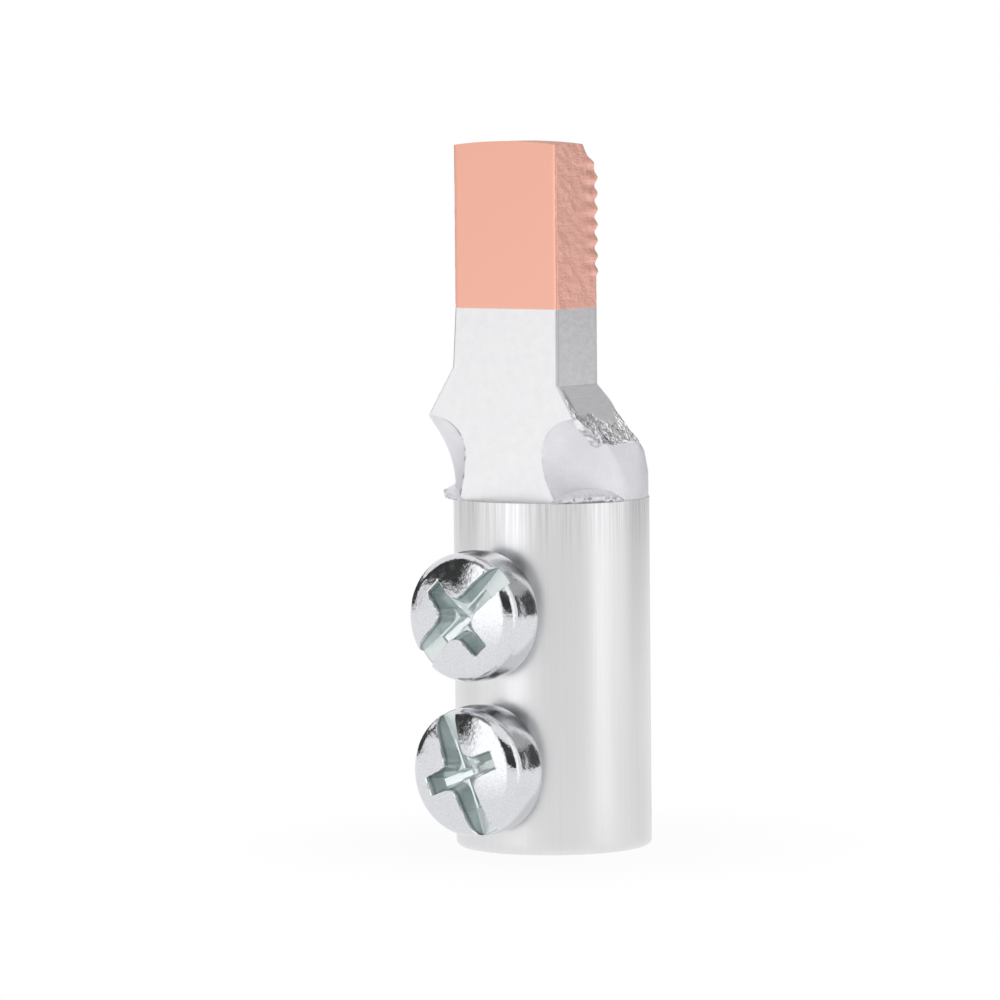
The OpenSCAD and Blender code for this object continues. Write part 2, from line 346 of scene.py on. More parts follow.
wide_dark_mark_cell = 0.6 * MM
dark_marks_fade = 0.6 * MM
noise_cells = 64
noise_shift = 1000
foot_half_w = np.sqrt(neck_r ** 2 - face_y ** 2)
foot_angle = np.arcsin(-face_y / neck_r)
slope = (shoulder_w / 2 - pin_half_w) / (crease_z - shoulder_z)


def blend(start, end, share):
    """A value part of the way from start to end."""
    return start + (end - start) * share


def share_of(value, low, high):
    """How far a value is from low to high, held between 0 and 1."""
    return np.clip((value - low) / (high - low), 0, 1)


def eased(share):
    """The same share with a soft start and end."""
    share = np.clip(share, 0, 1)
    return share * share * (3 - 2 * share)


def crease_at(side):
    """Height at which a slope meets the pin: the left one (side -1) was sheared higher."""
    return crease_z + (left_rise if side < 0 else 0)


def crease_half_w(side):
    """The pin's half-width where its slope begins: the left shear cut flares a little."""
    return pin_half_w + (left_flare if side < 0 else 0)


def slope_foot_at(side):
    """Height at which a slope runs out on the barrel's width."""
    return crease_at(side) - (neck_r - crease_half_w(side)) / slope


def body_half_w(z, side):
    """The neck's half-width: the barrel's, then the straight slope, then the pin's."""
    flared = blend(pin_half_w, crease_half_w(side), share_of(weld_z - z, 0, weld_z - crease_at(side)))
    return np.minimum(neck_r, flared + slope * np.maximum(0, crease_at(side) - z))


def face_half_w(z, side):
    """The front face's half-width: a curved foot, a round flare to the shoulder, then the slope."""
    waist = waist_w / 2 - side * scoop_drift
    foot = blend(waist, foot_half_w, share_of(waist_z - z, 0, waist_z - barrel_h) ** 2)
    rise = share_of(z, waist_z, shoulder_z)
    flare = blend(waist, body_half_w(shoulder_z, side) - edge_break, 1 - np.sqrt(1 - rise ** 2))
    above = body_half_w(z, side) - edge_break
    return np.where(z < waist_z, foot, np.where(z < shoulder_z, flare, above))


def scoop_end_y(z):
    """How far back the scooped corner reaches."""
    return blend(-edge_break, face_y + edge_break,
                 share_of(z, scoop_top_z, shoulder_z) ** scoop_power)


def back_reach_y(z):
    """How far back the middle plane reaches, a ramp with eased ends."""
    up = share_of(z, dome_z, crease_z - edge_break)
    return blend(neck_r, back_y, (up + eased(up)) / 2)


def side_end_y(z, side):
    """How far back the side runs before the back begins."""
    foot_z = slope_foot_at(side)
    low_side = blend(edge_break, slope_back, eased(share_of(z, dome_z, foot_z)))
    slope_side = blend(slope_back, back_y - edge_break, share_of(z, foot_z, crease_at(side)))
    return np.where(z < foot_z, low_side, np.minimum(slope_side, back_reach_y(z) - edge_break))


def neck_half(z, side):
    """One half of the section at each height, from the middle of the front round to the middle of
    the back: the flat face, an arc of the barrel stretched to the scoop, the straight side, and a
    back that turns from an ellipse to a flat."""
    z = z[:, None]
    across = np.append(np.linspace(0, face_even_share, face_points - 1), face_last_share)
    face = [face_half_w(z, side) * across, face_y + 0 * z * across]
    turn = foot_angle * np.linspace(1, 0, scoop_points)
    bend_x = (neck_r * np.cos(turn) - foot_half_w) / (neck_r - foot_half_w)
    bend_y = 1 + neck_r * np.sin(turn) / face_y
    wide, side_y, reach = body_half_w(z, side), side_end_y(z, side), back_reach_y(z)
    scoop = [blend(face_half_w(z, side), wide, bend_x), blend(face_y, scoop_end_y(z), bend_y)]
    along = np.linspace(0, 1, side_points + 1)[1:-1]
    flank = [wide + 0 * along, blend(scoop_end_y(z), side_y, along)]
    share = np.linspace(0, 1, back_points) ** back_crowding
    corner = np.clip(share / share[corner_steps], 0, 1)
    lift = np.sin(share * np.pi / 2)
    foot_z = slope_foot_at(side)
    bow = eased(share_of(z, foot_z - bow_blend, foot_z + bow_blend))
    flat = eased(share_of(z, shoulder_z, crease_z))
    round_y = blend(side_y, reach, blend(lift, lift ** 2, bow))
    flat_x = np.where(corner < 1, wide - edge_break * (1 - np.cos(corner * np.pi / 2)),
                      (wide - edge_break) * (1 - share_of(share, share[corner_steps], 1)))
    flat_y = blend(side_y, reach, np.sin(corner * np.pi / 2))
    back = [blend(wide * np.cos(share * np.pi / 2), flat_x, flat), blend(round_y, flat_y, flat)]
    x, y = [np.concatenate(parts, 1) for parts in zip(face, scoop, flank, back)]
    return x, y


def patchwork(a, b, cell, seed):
    """Smooth noise: seeded random heights at the corners of square cells, eased in between."""
    heights = np.random.default_rng(seed).uniform(-1, 1, (noise_cells, noise_cells))
    a, b = a / cell + noise_shift, b / cell + noise_shift
    i, j = np.floor(a).astype(int), np.floor(b).astype(int)
    s, t = eased(a - i), eased(b - j)
    here, beside, above, across = [heights[(i + di) % noise_cells, (j + dj) % noise_cells]
                                   for di, dj in ((0, 0), (1, 0), (0, 1), (1, 1))]
    return blend(blend(here, beside, s), blend(above, across, s), t)


def ripple(along, cell, seed):
    """The same noise along a single line."""
    return patchwork(along, 0 * along, cell, seed)


face_points, scoop_points, side_points, back_points = 14, 26, 24, 44
neck_z = np.unique(np.concatenate([
    [barrel_h - neck_root], np.linspace(barrel_h, shoulder_z - shoulder_band, 56),
    np.linspace(shoulder_z - shoulder_band, shoulder_z + shoulder_band, 12),
    np.linspace(shoulder_z + shoulder_band, crease_z, 60),
    np.linspace(crease_z, crease_at(-1), 14), np.linspace(crease_at(-1), weld_z, 36)]))


def neck_side(side):
    """One half of the neck as rings of points, with how dull each point is, how far it lies on the
    pin's side, and how much darker its colour is made. The pressed front is bright, the scoops and
    the back keep the forging's dull skin, and the pin's sides are sheared. Dark marks in a noisy
    pattern run up the face's edge below the shoulder, strong on the left and faint on the right,
    and the pin's corners are a little darker in colour."""
    x, y = neck_half(neck_z, side)
    z = neck_z[:, None] + 0 * x
    column = np.arange(x.shape[1])
    scoop_end = face_points + scoop_points
    side_end = scoop_end + side_points
    dull_top = np.where(column >= side_end - 1, crease_z, crease_at(side))
    dull = np.where(column < face_points, 0, 1) * share_of(dull_top - z, 0, dull_fade)
    on_side = (column > scoop_end - 2) & (column < side_end)
    flank = on_side * share_of(z - crease_at(side), -0.1 * MM, 0)
    mark_noise = ripple(z, dark_mark_cell, 51) + 0.5 * ripple(z, wide_dark_mark_cell, 52)
    # Dark marks in colour only, up the face's edge below the shoulder and on the pin's corners.
    dark_marks = (column == face_points) * share_of(mark_noise, -0.1, 0.5) * share_of(shoulder_z - z, 0, dark_marks_fade)
    corner = (column >= face_points) & (column < scoop_end) & (z > crease_at(side))
    dark_marks = dark_marks * (left_dark_marks if side < 0 else right_dark_marks) + corner_darkening * corner
    return np.stack([side * x, y, z], -1), dull, flank, dark_marks


def whole(right, left):
    """Rings from a right half and a left half that run from front to back: the left one is
    turned round, and the points on the middle plane are taken once."""
    return np.concatenate([right, left[:, -2:0:-1]], 1)


def capped(rings, cap_rings=8):
    """A closed grid of rings with both ends filled by rings that shrink to a point."""
    shrink = np.linspace(1, 0, cap_rings)[:, None, None]
    ends = [rings[end].mean(0) + (rings[end] - rings[end].mean(0)) * shrink for end in (0, -1)]
    return [grid(rings, closed=True), grid(ends[0], closed=True), grid(ends[1], closed=True)]


right_half, *right_marks = neck_side(1)
left_half, *left_marks = neck_side(-1)
neck_marks = {label: whole(right, left).ravel() for label, right, left
              in zip(("dull", "flank", "dark_marks"), right_marks, left_marks)}

forged, finish = metal("forged_aluminium", (0.84, 0.84, 0.85), 0.35)
dull = attribute(forged, "dull")
fine = grain(forged, 0.16 * MM)
mottle = between(forged, grain(forged, 0.9 * MM), 0.3, 0.7)
speckle = between(forged, fine, 0.3, 0.7)
blotches = between(forged, grain(forged, 1.6 * MM, detail=2.0), 0.35, 0.65)
streaks = between(forged, grain(forged, 0.3 * MM, stretch=(1, 0.5, 1)), 0.3, 0.7)
bright_tone = mixed_color(forged, mottle, (0.91, 0.91, 0.92), (0.87, 0.87, 0.885))
speckled_tone = mixed_color(forged, speckle, (0.85, 0.85, 0.885), (0.93, 0.93, 0.96))
dull_tone = mixed_color(forged, blotches, speckled_tone, (0.86, 0.86, 0.89))
flank_tone = mixed_color(forged, streaks, (0.82, 0.82, 0.85), (0.92, 0.92, 0.95))
skin_tone = mixed_color(forged, dull, bright_tone, dull_tone)
side_tone = mixed_color(forged, attribute(forged, "flank"), skin_tone, flank_tone)
# Darker colour along the face's edge and on the pin's corners.
dark_marked_tone = mixed_color(forged, attribute(forged, "dark_marks"), side_tone, (0.3, 0.3, 0.32))
feed(forged, finish.inputs["Base Color"], dark_marked_tone)
feed(forged, finish.inputs["Roughness"], between(forged, dull, 0, 1, 0.36, 0.62))
uneven(forged, finish, fine, 0.012 * MM)

neck = piece("forged_neck", capped(whole(right_half, left_half)), "lug", "aluminium", ["lug_body"],
             sharp_angle=18.0, **neck_marks)
neck.data.materials.append(forged)


# The sheared slopes: the shears that narrow the aluminium pin leave fine lines across each slope
# and then tear, so its lower end is a torn skin that stands a little proud of the dome, with a
# ragged lower edge. On the right a bright burr also runs along the front. The hollows between
# the torn folds, a line beside the burr and the ragged edge carry painted shade.
skin_lean = 1.5 * MM
skin_sink = 0.5 * MM
skin_proud = 0.03 * MM
skin_lift = 0.16 * MM
shear_line_depth = 0.012 * MM
fold_depth = 0.11 * MM
burr_depth = 0.09 * MM
tear_at = 0.5
tear_fade = 0.12
tear_sway = 0.12
rag_fine = 0.07
rag_wide = 0.05
tongue_reach = 0.09
gap_reach = 0.12
shear_line_cell = 0.12 * MM
fold_sway = 0.5 * MM
sway_cell = 1.1 * MM
fold_cell = 0.27 * MM
fine_fold_cell = 0.12 * MM
slope_step = 0.02 * MM
slope_out = np.array([1, slope]) / np.hypot(1, slope)


def neck_half_w(y, z, side):
    """Half-width of the neck's skin at a depth and a height: the scooped corner's arc, then the
    straight side."""
    ahead = share_of(y, face_y, scoop_end_y(z))
    turn = np.arcsin((1 - ahead) * -face_y / neck_r)
    bend = (neck_r * np.cos(turn) - foot_half_w) / (neck_r - foot_half_w)
    return blend(face_half_w(z, side), body_half_w(z, side), bend)


def hump(along, middle, width):
    """A bell curve along a line: e to minus the square of how many widths off its middle."""
    return np.exp(-((along - middle) / width) ** 2)


def sheared_skin(side, seed, edge, rows=150, columns=130):
    """A sheet on the neck's skin between the slope's front and back edges, down from the crease,
    with a burr along the front edge that is as strong as edge. The front edge leans back below the
    shoulder. Fine ridges lie across its upper part, and torn folds run down its lower part. Each
    row closes behind it inside the neck. It comes with how torn each point is and how much painted
    shade it takes: in the hollows between the torn folds, in a line beside the burr and along the
    ragged lower edge."""
    down = np.linspace(0, 1, rows)[:, None]
    along = np.linspace(0, 1, columns) ** 1.15
    top, foot = crease_at(side), slope_foot_at(side)
    tongue = edge * (tongue_reach * hump(along, 0.07, 0.06) - gap_reach * hump(along, 0.22, 0.07))
    ragged = rag_fine * ripple(along, 0.05, seed) + rag_wide * ripple(along, 0.17, seed + 1) + tongue
    z = top - (top - foot) * down * (1 + ragged * down ** 3)
    lean = skin_lean * share_of(shoulder_z - z, 0, shoulder_z - foot) ** 1.2
    y = blend(face_y + edge_break + lean, side_end_y(z, side), along)
    x = neck_half_w(y, z, side)
    wider, narrower = neck_half_w(y + slope_step, z, side), neck_half_w(y - slope_step, z, side)
    fall = (wider - narrower) / (2 * slope_step)
    facing = np.stack([np.ones_like(fall), -fall], -1) / np.hypot(1, fall)[..., None]
    tear = tear_at + tear_sway * ripple(along, 0.2, seed + 2) - tear_sway * (1 - along)
    torn = eased(share_of(down, tear, tear + tear_fade))
    lines = shear_line_depth * patchwork(0.15 * y, z, shear_line_cell, seed + 3)
    bend = fold_sway * patchwork(y, z, sway_cell, seed + 4)
    wide_folds = patchwork(y + 0.5 * z + bend, 0.35 * z, fold_cell, seed + 5)
    fine_folds = patchwork(y + bend, 0.7 * z, fine_fold_cell, seed + 6)
    folds = 0.6 * wide_folds + 0.4 * fine_folds
    burr = edge * hump(along, 0, 0.035) * (0.6 + 0.9 * ripple(down, 0.035, seed + 7))
    lift = skin_lift * (0.25 + 0.75 * edge) * down ** 2
    push = skin_proud + lift + blend(lines, fold_depth * folds, torn)
    push = push + burr_depth * burr * share_of(down, 0.02, 0.2)
    # Painted shade: the hollows between the torn folds, a line beside the burr and the lowest rows along
    # the ragged edge are darkened in colour.
    valley = torn * share_of(-folds, -0.15, 0.35)
    valley = np.maximum(valley, edge * hump(along, 0.075, 0.03) * share_of(down, 0, 0.2))
    valley = np.maximum(valley, share_of(down, 0.96, 0.98) + 0 * along)
    outer = np.stack([x + push * facing[..., 0] * slope_out[0], y + push * facing[..., 1] * slope_out[0],
                      z + push * slope_out[1]], -1)
    inward = np.stack([skin_sink * facing[..., 0], skin_sink * facing[..., 1],
                       0.4 * skin_sink + 0 * x], -1)
    rings = np.concatenate([outer, (outer - inward)[:, ::-1]], 1) * [side, 1, 1]
    torn, valley = [np.concatenate([marks, marks[:, ::-1]], 1).ravel()
                    for marks in (torn + 0 * x, valley + 0 * x)]
    return capped(rings), torn, valley


torn_metal, finish = metal("torn_aluminium", (0.74, 0.74, 0.77), 0.3)
how_torn = attribute(torn_metal, "torn")
streaks = between(torn_metal, grain(torn_metal, 0.12 * MM, stretch=(1, 0.12, 1)), 0.3, 0.7)
sheared_tone = mixed_color(torn_metal, streaks, (0.84, 0.84, 0.87), (0.93, 0.93, 0.96))
torn_tone = mixed_color(torn_metal, how_torn, sheared_tone, (0.93, 0.93, 0.94))
# Painted shade: the marked hollows, the line beside the burr and the ragged edge are painted dark.
valley_tone = mixed_color(torn_metal, attribute(torn_metal, "valley"), torn_tone, (0.56, 0.56, 0.59))
feed(torn_metal, finish.inputs["Base Color"], valley_tone)
feed(torn_metal, finish.inputs["Roughness"], between(torn_metal, how_torn, 0, 1, 0.42, 0.3))

for side, label, seed, edge in ((1, "right", 3, 1.0), (-1, "left", 13, 0.0)):
    patches, torn, valley = sheared_skin(side, seed, edge)
    skin = piece("sheared_slope_" + label, patches, "lug", "aluminium", ["lug_body"],
                 torn=torn, valley=valley)
    skin.data.materials.append(torn_metal)

# The flash: at both corners of the neck the press has squeezed a thin lens of aluminium out over
# the barrel's edge. Its outside carries on the scoop, its edge is chipped and its underside rough.
# The chips, the lower edge and the underside are darkened with painted shade.
lip_turn = np.radians(58.0)
lip_half_turn = np.radians(24.0)
lip_reach = 0.78 * MM
lip_h = 1.15 * MM
lip_root = 0.5 * MM
lip_edge_h = 0.55 * MM
lip_inset = 0.1 * MM
lip_sink = 0.04 * MM
lip_lines = 240
lip_bluntness = 0.7


def lip_rings(hand, seed):
    """Wedge sections from one end of the lens to the other: reach and height both follow a blunted
    parabola along it. Each section is a list of reach, height and how much painted shade the point
    takes, with seeded chips along the overhanging edge and down to the underside: the chips are
    darkened with painted shade, and the underside is painted dark as its shade."""
    along = np.linspace(-1, 1, lip_lines)[:, None]
    swell = (1 - along ** 2) ** lip_bluntness
    turn = hand * (lip_turn + lip_half_turn * along)
    chips = [ripple(along, 0.11, seed + k) + 0.5 * ripple(along, 0.04, seed + k + 5) for k in range(3)]
    # Painted shade: how dark each chip is painted.
    pit_shade = [share_of(chip, 0.05, 0.5) for chip in chips]
    reach, edge, top, flat = lip_reach * swell, lip_edge_h * swell, lip_h * swell, 0 * swell
    section = [
        (flat - lip_root, top, flat),
        (flat - lip_inset, top, flat),
        (0.5 * reach, blend(edge, top, 0.5), flat),
        (reach * (1 + 0.08 * chips[0]), edge * (1 + 0.2 * chips[0]), 0.3 * pit_shade[0]),
        (reach * (0.98 + 0.04 * chips[1]), edge * (0.76 + 0.14 * chips[1]), pit_shade[1]),
        (reach * (0.96 - 0.06 * chips[0]), edge * (0.5 - 0.14 * chips[0]), 0.5 * pit_shade[0]),
        (reach * (0.9 + 0.05 * chips[2]), edge * (0.26 + 0.16 * chips[2]), 0.6 + 0.4 * pit_shade[2]),
        (0.3 * reach, 0.05 * edge, flat + 1),
        (flat - lip_root, flat - lip_inset, flat + 1)]
    out, rise, valley = [np.concatenate(columns, 1) for columns in zip(*section)]
    return round_points(barrel_r + out, turn, barrel_h + rise - lip_sink), valley


flash_metal, finish = metal("flash_aluminium", (0.84, 0.84, 0.87), 0.58)
speckle = between(flash_metal, grain(flash_metal, 0.16 * MM), 0.3, 0.7)
flash_tone = mixed_color(flash_metal, speckle, (0.84, 0.84, 0.875), (0.93, 0.93, 0.96))
# Painted shade: the chips, the lower edge and the underside are darkened in colour.
pit_shade_tone = mixed_color(flash_metal, attribute(flash_metal, "valley"), flash_tone, (0.36, 0.36, 0.39))
feed(flash_metal, finish.inputs["Base Color"], pit_shade_tone)

for hand, label, seed in ((1, "right", 41), (-1, "left", 43)):
    rings, valley = lip_rings(hand, seed)
    lip = piece("flash_" + label, [grid(rings, closed=True)],
                "lug", "aluminium", ["lug_body"], sharp_angle=30.0, valley=valley.ravel())
    lip.data.materials.append(flash_metal)

# The copper tip: a flat of copper friction welded to the aluminium. Its front is pressed smooth,
# its sides are torn by the shears, its end is crowned, and the jaws that held it in the welding
# machine have left ridges across its back.
groove_pitch = 1.26 * MM
groove_depth = 0.33 * MM
groove_count = 8
groove_start = 1.8 * MM
crest_out = 0.2 * MM
bevel_in = 2.1 * MM
bevel_down = 2.4 * MM
crown = 0.3 * MM
tip_z = pin_high.z
ridge_share = 0.42
ridge_push = 0.1 * MM
ridge_middle = 0.6
ridges_end = 0.3 * MM
ridges_full = 0.9 * MM
wrinkle_depth = 0.02 * MM
fine_wrinkle_depth = 0.008 * MM
wrinkle_cell = 0.7 * MM
fine_wrinkle_cell = 0.28 * MM
tip_front, tip_side = 20, 59


def end_height(x):
    """Height of the crowned end, which falls away to both sides as a circle does."""
    return tip_z - crown * (x / pin_half_w) ** 2


def ridge_wave(z):
    """0 on a crest and 1 in a groove; below the jaws' marks it is flush with the pin's back."""
    from_crest = (tip_z - groove_start - z) / groove_pitch
    wave = np.where(from_crest > -0.5, (1 - np.cos(2 * np.pi * from_crest)) / 2, 1)
    below = eased(share_of(from_crest, groove_count - 1, groove_count - 0.5))
    return blend(wave, crest_out / groove_depth, below)


def tip_half(rise):
    """The right half of the tip's section at each share of its height, from the middle of the
    front to the middle of the back. The back carries the ridges and leans in to the end."""
    rise = rise[:, None]
    front = np.linspace(0, 1, tip_front)
    corner = np.linspace(0, np.pi / 2, 4)[1:]
    side = np.linspace(0, 1, tip_side + 1)[1:]
    bend = np.linspace(0, np.pi / 2, 5)[1:]
    back = np.linspace(1, 0, 24)[1:]
    wide = pin_half_w - edge_break
    thick = back_y - face_y
    x = np.concatenate([wide * front, wide + edge_break * np.sin(corner), pin_half_w + 0 * side,
                        wide + edge_break * np.cos(bend), wide * back]) + 0 * rise
    z = weld_z + (end_height(x) - weld_z) * rise
    bevel_y = back_y - bevel_in * (z - tip_z + bevel_down) / bevel_down
    relief = (crest_out - groove_depth * ridge_wave(z)) * share_of(tip_z - z, ridges_end, ridges_full)
    back_here = np.minimum(back_y, bevel_y) + relief
    deep = np.concatenate([0 * front, edge_break * (1 - np.cos(corner)),
                           blend(edge_break, thick - edge_break, side),
                           thick - edge_break * (1 - np.sin(bend)), thick + 0 * back])
    return x, face_y + deep * (back_here - face_y) / thick, z


tip_rise = np.concatenate([np.linspace(0, 0.9, 230, endpoint=False), np.linspace(0.9, 1, 40)])
tip_x, tip_y, tip_up = tip_half(tip_rise)
tip_column = np.arange(tip_x.shape[1])


def tip_wall(seed):
    """How far the torn side is pushed out: jaw ridges that fade forwards, and wrinkles."""
    torn = (tip_column > tip_front) & (tip_column < tip_front + tip_side + 6)
    deep = share_of(tip_y, face_y, back_y)
    ridge = ridge_push * (ridge_middle - ridge_wave(tip_up)) * eased(share_of(deep, 1 - ridge_share, 1))
    wrinkle = wrinkle_depth * patchwork(tip_y + 0.4 * tip_up, tip_up, wrinkle_cell, seed)
    wrinkle = wrinkle + fine_wrinkle_depth * patchwork(tip_y, tip_up, fine_wrinkle_cell, seed + 1)
    return torn * (ridge + wrinkle * share_of(deep, 0, 0.03))


tip_halves = [np.stack([hand * (tip_x + tip_wall(seed)), tip_y, tip_up], -1)
              for hand, seed in ((1, 21), (-1, 31))]
tip_rings = whole(*tip_halves)
tip_top = tip_rings[-1]
shrink = np.linspace(1, 0, 12)[:, None, None]
middle = np.array([0, (face_y + back_y) / 2, 0])
tip_cap = middle + (tip_top - middle) * shrink
tip_cap[..., 2] = end_height(tip_cap[..., 0])
tip_foot = middle + (tip_rings[0] - middle) * shrink
tip_foot[..., 2] = weld_z
cut = (tip_column > tip_front + 1) * np.ones((len(tip_rise), 1))
tip_cut = whole(cut, cut)


def worked_out(made, operation, first, second):
    """One step of arithmetic on two values."""
    step = made.node_tree.nodes.new("ShaderNodeMath")
    step.operation = operation
    feed(made, step.inputs[0], first)
    feed(made, step.inputs[1], second)
    return step.outputs[0]


copper, finish = metal("pressed_copper", (0.90, 0.48, 0.37), 0.4)
is_cut = attribute(copper, "cut")
mottle = between(copper, grain(copper, 0.5 * MM), 0.35, 0.65)
worms = grain(copper, 0.2 * MM, stretch=(1, 0.6, 1), detail=2.0)
drags = grain(copper, 0.13 * MM, stretch=(1, 0.12, 1))
torn_tone = mixed_color(copper, mottle, (0.95, 0.54, 0.45), (1.0, 0.58, 0.485))
feed(copper, finish.inputs["Base Color"], mixed_color(copper, is_cut, (0.98, 0.522, 0.408), torn_tone))
feed(copper, finish.inputs["Roughness"], between(copper, is_cut, 0, 1, 0.42, 0.5))
wrinkles = worked_out(copper, "MULTIPLY", worked_out(copper, "ADD", worms, drags), is_cut)
uneven(copper, finish, wrinkles, 0.02 * MM)

copper_tip = piece("copper_tip", [grid(tip_rings, closed=True), grid(tip_cap, closed=True),
                                  grid(tip_foot, closed=True)],
                   "lug", "copper", ["copper_pin"], cut=tip_cut.ravel())
copper_tip.data.materials.append(copper)

# The clamp screws: zinc-plated steel pan heads, cold formed with a slot and a cross in one recess,
# on a rolled metric thread that runs through the barrel's wall.
thread_r = 2.5 * MM
thread_root_r = 2.05 * MM
thread_pitch = 0.8 * MM
rim_h = 2.7 * MM
head_round = 1.2 * MM
cap_r = 16.0 * MM
shank_l = 5.0 * MM
head_r = (screw_boxes[screw_nodes[0]][1].x - screw_boxes[screw_nodes[0]][0].x) / 2
cap_reach = head_r - head_round
cap_turn = np.arcsin(cap_reach / (cap_r - head_round))
cap_middle = rim_h - cap_reach / np.tan(cap_turn)
head_h = cap_middle + cap_r
slot_floor = head_h - 1.9 * MM
slot_half_w = 0.95 * MM
arm_half_w = 0.83 * MM
arm_reach = 3.35 * MM
cross_floor = head_h - 2.7 * MM
cross_rise = 0.22
wall_steep = 4.5
wall_top = head_h - 0.1 * MM
end_steep = 3.2
end_top = head_h - 0.55 * MM
slot_flare = 0.12 * MM
web_round = 1.1 * MM
arms_round = 0.3 * MM
floor_round = 0.12 * MM
lip_round = 0.1 * MM
rim_round = 0.12 * MM
rim_bulge = 0.08 * MM
fillet_w = 0.25 * MM
fillet_h = 0.12 * MM
thread_start = 0.7 * MM
thread_rows = 12
crest_share = 1.25
flank_steep = 2.9
tip_inset = 0.15 * MM
recess_block = 3.6 * MM
straight_half_w = 1.2 * MM
net_coarse = 0.11 * MM
net_fine = 0.035 * MM
net_near = 0.3 * MM
net_inset = 0.1 * MM
rings_out = 26
recess_depths = (0.05 * MM, 0.5 * MM)
# Sunk depths at which the painted highlight on the recess's upper edge comes and goes, and then the
# painted shade on the wall below it.
highlight_starts = (0.002 * MM, 0.02 * MM)
highlight_ends = (0.12 * MM, 0.25 * MM)
wall_shade_starts = (0.15 * MM, 0.3 * MM)
wall_shade_ends = (0.4 * MM, 0.6 * MM)
screw_turns = {"upper_clamp_screw": 43.0, "lower_clamp_screw": 112.0}


def meet(a, b, reach):
    """The lesser of two values, with the crease between them filled over the given reach."""
    near = np.maximum(reach - np.abs(a - b), 0) / reach
    return np.minimum(a, b) - near * near * reach / 4


def recess_height(u, v, dome):
    """Height of the head's top: its dome, or the recess where that is lower. The slot runs along
    u. Its outline and the arms' meet in rounded webs, and the walls lean outwards."""
    in_slot = np.abs(v) - slot_half_w - slot_flare * (u / recess_block) ** 2
    in_arm = np.maximum(np.abs(u) - arm_half_w, np.abs(v) - arm_reach)
    web = meet(in_slot, in_arm, web_round)
    slot_walls = np.maximum(slot_floor, wall_top + wall_steep * web)
    arms = [np.maximum.reduce([cross_floor + cross_rise * np.hypot(u, v), wall_top + wall_steep * side,
                               end_top + end_steep * (length - arm_reach)])
            for side, length in ((np.abs(u) - arm_half_w, np.abs(v)),
                                 (np.abs(v) - arm_half_w, np.abs(u)))]
    cut = meet(slot_walls, meet(*arms, arms_round), floor_round)
    return meet(dome, cut, lip_round)


def clustered(mark):
    """Lines across the block, set close together near the given mark on both sides."""
    low = [0.0]
    while low[-1] < recess_block:
        low.append(low[-1] + (net_fine if abs(low[-1] - mark) < net_near else net_coarse))
    low = np.array(low) * recess_block / low[-1]
    return np.concatenate([-low[:0:-1], low])


def framed(block):
    """The block's lines with more lines round them, out to a millimetre past it on each side,
    crowded together at the far end."""
    outward = np.sin(np.linspace(0, np.pi / 2, rings_out + 1)[1:])
    return np.concatenate([-recess_block - outward[::-1] * MM, block, recess_block + outward * MM])


frame_v = framed(clustered(slot_half_w - net_inset))
frame_u = framed(clustered(arm_half_w - net_inset))


def onto_head(p, q):
    """Carries a square onto the round head: its middle block stays as it is, and round it each
    ray goes on to the rim, with the lines beside the slot kept straight."""
    most = np.maximum(np.abs(p), np.abs(q))
    out = np.clip((most - recess_block) / MM, 0, 1)
    shrink = np.minimum(1, recess_block / most.clip(1e-9))
    inner_p, inner_q = p * shrink, q * shrink
    spare = head_r * np.sqrt(0.5) - recess_block
    wide = np.abs(inner_p) >= np.abs(inner_q)
    other = np.where(wide, inner_q, inner_p)
    ramp = eased(share_of(np.abs(other), straight_half_w, recess_block))
    edge_other = other + np.sign(other) * spare * ramp
    edge_main = np.sqrt(head_r ** 2 - edge_other ** 2) * np.sign(np.where(wide, inner_p, inner_q))
    rim_p = np.where(wide, edge_main, edge_other)
    rim_q = np.where(wide, edge_other, edge_main)
    return blend(inner_p, rim_p, out), blend(inner_q, rim_q, out)


def rim_loop(grid_points):
    """The points along a square grid's edge, once round."""
    return np.concatenate([grid_points[0, :-1], grid_points[:-1, -1],
                           grid_points[-1, :0:-1], grid_points[:0:-1, 0]])


def crown_height(out):
    """Height of the head's top at a distance from its axis: a shallow cap, then a round shoulder
    that drops to the rim."""
    cap = cap_middle + np.sqrt(cap_r ** 2 - out ** 2)
    shoulder = rim_h + np.sqrt(np.clip(head_round ** 2 - (out - cap_reach).clip(0) ** 2, 0, None))
    return np.where(out < cap_r * np.sin(cap_turn), cap, shoulder)


def swept(radius, turn, rise):
    """Points at a radius and an angle round the screw's own axis, and at a rise along it."""
    return np.stack([radius * np.cos(turn), radius * np.sin(turn), rise[:, None] + 0 * turn], -1)


